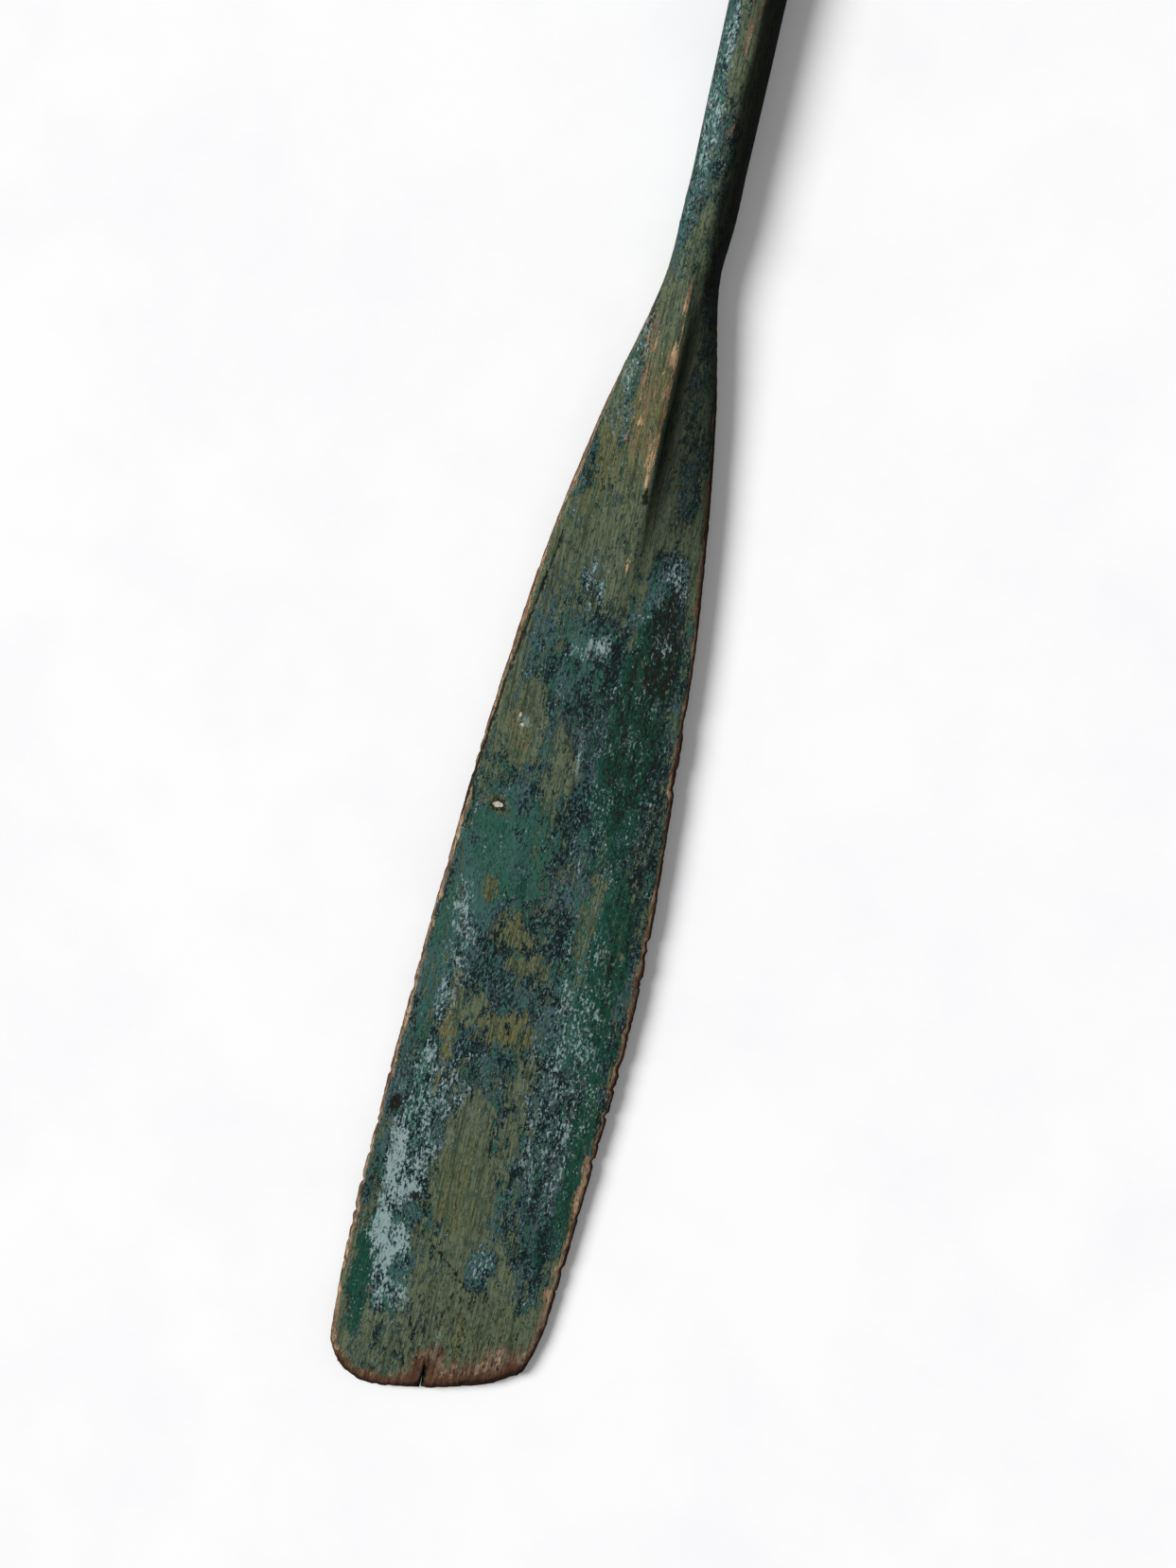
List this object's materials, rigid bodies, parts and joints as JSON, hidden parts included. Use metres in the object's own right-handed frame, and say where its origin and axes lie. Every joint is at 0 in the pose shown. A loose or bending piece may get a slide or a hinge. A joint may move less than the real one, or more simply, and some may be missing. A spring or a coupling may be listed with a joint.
{
  "type": "rowing oar",
  "caption": "Carved wooden rowing oar with a long painted blade, a ridge at the throat, a round loom, a leather rowlock sleeve, a stop collar and a plain hand grip.",
  "frame": {"origin": "on the loom axis, in the middle of the leather rowlock seat", "axes": "+X along the loom towards the blade tip, +Y across the blade towards its shorter edge, +Z out of the blade's upper face"},
  "size_m": [2.1339, 0.1477, 0.069],
  "materials": {
    "painted_wood": "weathered green and blue-grey paint, worn to bare wood along the edges",
    "rowlock_leather": "oiled, worn smooth",
    "button_leather": "oiled, scuffed on the outside",
    "waxed_twine": "waxed flax, darkened with use",
    "copper": "copper, tarnished brown"
  },
  "bodies": {
    "root": {"oar_stock": "painted_wood", "leather_sleeve": "rowlock_leather", "sleeve_stitching": "waxed_twine", "sleeve_tacks": "copper", "button_base_strap": "button_leather", "button_cap_strap": "button_leather", "button_nails": "copper"}
  },
  "joints": []
}
